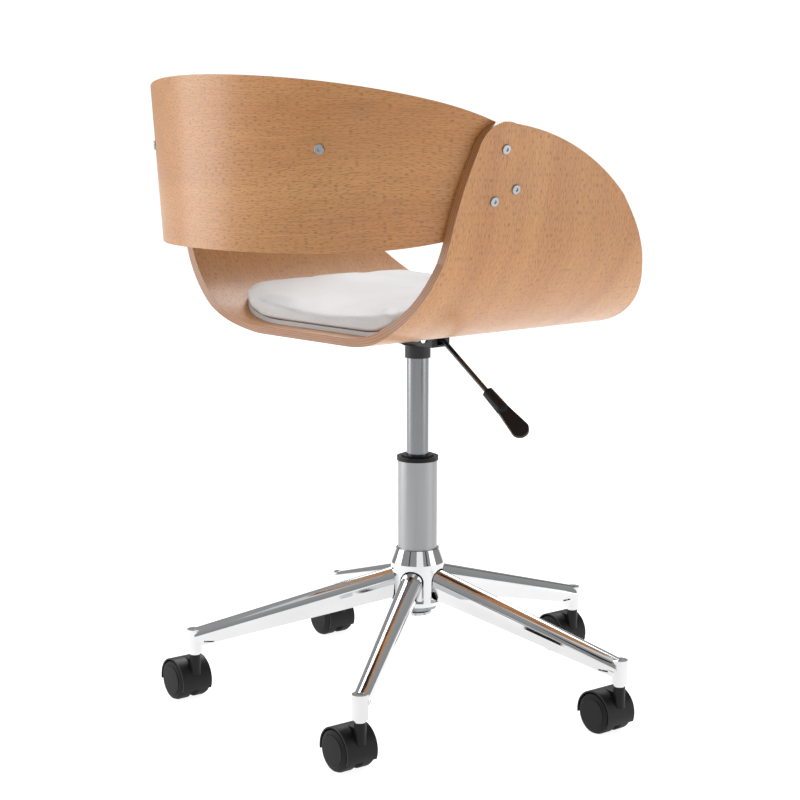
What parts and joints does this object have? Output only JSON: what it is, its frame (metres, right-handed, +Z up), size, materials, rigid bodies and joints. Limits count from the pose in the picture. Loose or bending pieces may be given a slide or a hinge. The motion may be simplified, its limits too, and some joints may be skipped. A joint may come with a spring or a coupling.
{
  "type": "swivel chair",
  "caption": "Office swivel chair with a bent plywood seat shell and wrap-round back band, leatherette pads, gas lift with hand lever and a chrome star base on twin-wheel casters.",
  "frame": {"origin": "on the floor, under the axis of the column", "axes": "+Z up, -Y the way a sitter faces, -X the sitter's right, where the lift lever is"},
  "size_m": [0.6054, 0.6401, 0.7889],
  "materials": {
    "chrome_steel": "polished chrome plate",
    "satin_steel": "satin silver-grey lacquer",
    "black_plate": "black powder coat",
    "plain_steel": "bright drawn steel",
    "black_steel": "black lacquer",
    "bolt_steel": "zinc plate",
    "black_nylon": "fine moulded grain",
    "stop_rubber": "plain",
    "valve_brass": "turned",
    "button_steel": "turned",
    "beech_veneer": "clear satin lacquer over beech veneer",
    "pad_board_wood": "raw plywood",
    "white_leatherette": "white fine-grained leatherette"
  },
  "bodies": {
    "base": {"hub": "chrome_steel", "leg_1": "chrome_steel", "leg_2": "chrome_steel", "leg_3": "chrome_steel", "leg_4": "chrome_steel", "leg_5": "chrome_steel", "stem_sleeves": "black_nylon", "caster_stem_1": "chrome_steel", "caster_stem_2": "chrome_steel", "caster_stem_3": "chrome_steel", "caster_stem_4": "chrome_steel", "caster_stem_5": "chrome_steel", "column_tube": "satin_steel", "column_bush": "black_nylon", "thrust_bearing": "plain_steel"},
    "lift": {"lift_rod": "plain_steel", "piston": "plain_steel", "bearing_washer": "plain_steel", "stop_cushion": "stop_rubber", "retaining_clip": "plain_steel"},
    "seat": {"gas_cylinder": "chrome_steel", "rod_guide": "plain_steel", "valve_block": "valve_brass", "seat_plate": "black_plate", "plate_screws": "plain_steel", "t_nuts": "plain_steel", "lever_pin": "plain_steel", "seat_shell": "beech_veneer", "back_band": "beech_veneer", "wing_bolts": "bolt_steel", "wing_nuts": "bolt_steel", "back_bolts": "bolt_steel", "back_nuts": "bolt_steel", "seat_board": "pad_board_wood", "seat_pad": "white_leatherette", "back_board": "pad_board_wood", "back_pad": "white_leatherette"},
    "lever": {"lever_rod": "black_steel", "lever_grip": "black_nylon"},
    "button": {"release_button": "button_steel"},
    "caster_1": {"caster_body_1": "black_nylon", "caster_axle_1": "plain_steel"},
    "wheel_1_left_body": {"wheel_1_left": "black_nylon"},
    "wheel_1_right_body": {"wheel_1_right": "black_nylon"},
    "caster_2": {"caster_body_2": "black_nylon", "caster_axle_2": "plain_steel"},
    "wheel_2_left_body": {"wheel_2_left": "black_nylon"},
    "wheel_2_right_body": {"wheel_2_right": "black_nylon"},
    "caster_3": {"caster_body_3": "black_nylon", "caster_axle_3": "plain_steel"},
    "wheel_3_left_body": {"wheel_3_left": "black_nylon"},
    "wheel_3_right_body": {"wheel_3_right": "black_nylon"},
    "caster_4": {"caster_body_4": "black_nylon", "caster_axle_4": "plain_steel"},
    "wheel_4_left_body": {"wheel_4_left": "black_nylon"},
    "wheel_4_right_body": {"wheel_4_right": "black_nylon"},
    "caster_5": {"caster_body_5": "black_nylon", "caster_axle_5": "plain_steel"},
    "wheel_5_left_body": {"wheel_5_left": "black_nylon"},
    "wheel_5_right_body": {"wheel_5_right": "black_nylon"}
  },
  "joints": [
    {"name": "seat_swivel", "type": "hinge", "parent": "base", "child": "lift", "pos_m": [0, 0, 0.128], "axis": [0, 0, 1], "continuous": true},
    {"name": "seat_height", "type": "slide", "parent": "lift", "child": "seat", "axis": [0, 0, 1], "range_m": [-0.11, 0]},
    {"name": "lever_pivot", "type": "hinge", "parent": "seat", "child": "lever", "pos_m": [-0.028, 0, 0.4695], "axis": [0, 1, 0], "range_deg": [0, 7]},
    {"name": "button_press", "type": "slide", "parent": "seat", "child": "button", "axis": [0, 0, 1], "range_m": [-0.004, 0], "stiffness_N_per_m": 400},
    {"name": "caster_swivel_1", "type": "hinge", "parent": "base", "child": "caster_1", "pos_m": [-0.00823, -0.28558, 0.055], "axis": [0, 0, 1], "continuous": true},
    {"name": "wheel_spin_1_left", "type": "hinge", "parent": "caster_1", "child": "wheel_1_left_body", "pos_m": [0.0144, -0.28742, 0.0255], "axis": [0.0811, 0.9967, 0], "continuous": true},
    {"name": "wheel_spin_1_right", "type": "hinge", "parent": "caster_1", "child": "wheel_1_right_body", "pos_m": [0.0144, -0.28742, 0.0255], "axis": [0.0811, 0.9967, 0], "continuous": true},
    {"name": "caster_swivel_2", "type": "hinge", "parent": "base", "child": "caster_2", "pos_m": [0.26906, -0.09607, 0.055], "axis": [0, 0, 1], "continuous": true},
    {"name": "wheel_spin_2_left", "type": "hinge", "parent": "caster_2", "child": "wheel_2_left_body", "pos_m": [0.29169, -0.09791, 0.0255], "axis": [0.0811, 0.9967, 0], "continuous": true},
    {"name": "wheel_spin_2_right", "type": "hinge", "parent": "caster_2", "child": "wheel_2_right_body", "pos_m": [0.29169, -0.09791, 0.0255], "axis": [0.0811, 0.9967, 0], "continuous": true},
    {"name": "caster_swivel_3", "type": "hinge", "parent": "base", "child": "caster_3", "pos_m": [0.17452, 0.2262, 0.055], "axis": [0, 0, 1], "continuous": true},
    {"name": "wheel_spin_3_left", "type": "hinge", "parent": "caster_3", "child": "wheel_3_left_body", "pos_m": [0.19714, 0.22437, 0.0255], "axis": [0.0811, 0.9967, 0], "continuous": true},
    {"name": "wheel_spin_3_right", "type": "hinge", "parent": "caster_3", "child": "wheel_3_right_body", "pos_m": [0.19714, 0.22437, 0.0255], "axis": [0.0811, 0.9967, 0], "continuous": true},
    {"name": "caster_swivel_4", "type": "hinge", "parent": "base", "child": "caster_4", "pos_m": [-0.1612, 0.23588, 0.055], "axis": [0, 0, 1], "continuous": true},
    {"name": "wheel_spin_4_left", "type": "hinge", "parent": "caster_4", "child": "wheel_4_left_body", "pos_m": [-0.13858, 0.23403, 0.0255], "axis": [0.0811, 0.9967, 0], "continuous": true},
    {"name": "wheel_spin_4_right", "type": "hinge", "parent": "caster_4", "child": "wheel_4_right_body", "pos_m": [-0.13858, 0.23403, 0.0255], "axis": [0.0811, 0.9967, 0], "continuous": true},
    {"name": "caster_swivel_5", "type": "hinge", "parent": "base", "child": "caster_5", "pos_m": [-0.27415, -0.08043, 0.055], "axis": [0, 0, 1], "continuous": true},
    {"name": "wheel_spin_5_left", "type": "hinge", "parent": "caster_5", "child": "wheel_5_left_body", "pos_m": [-0.25152, -0.08227, 0.0255], "axis": [0.0811, 0.9967, 0], "continuous": true},
    {"name": "wheel_spin_5_right", "type": "hinge", "parent": "caster_5", "child": "wheel_5_right_body", "pos_m": [-0.25152, -0.08227, 0.0255], "axis": [0.0811, 0.9967, 0], "continuous": true}
  ],
  "couplings": [
    {"joint": "button_press", "follows": "lever_pivot", "m_per_rad": -0.032}
  ]
}
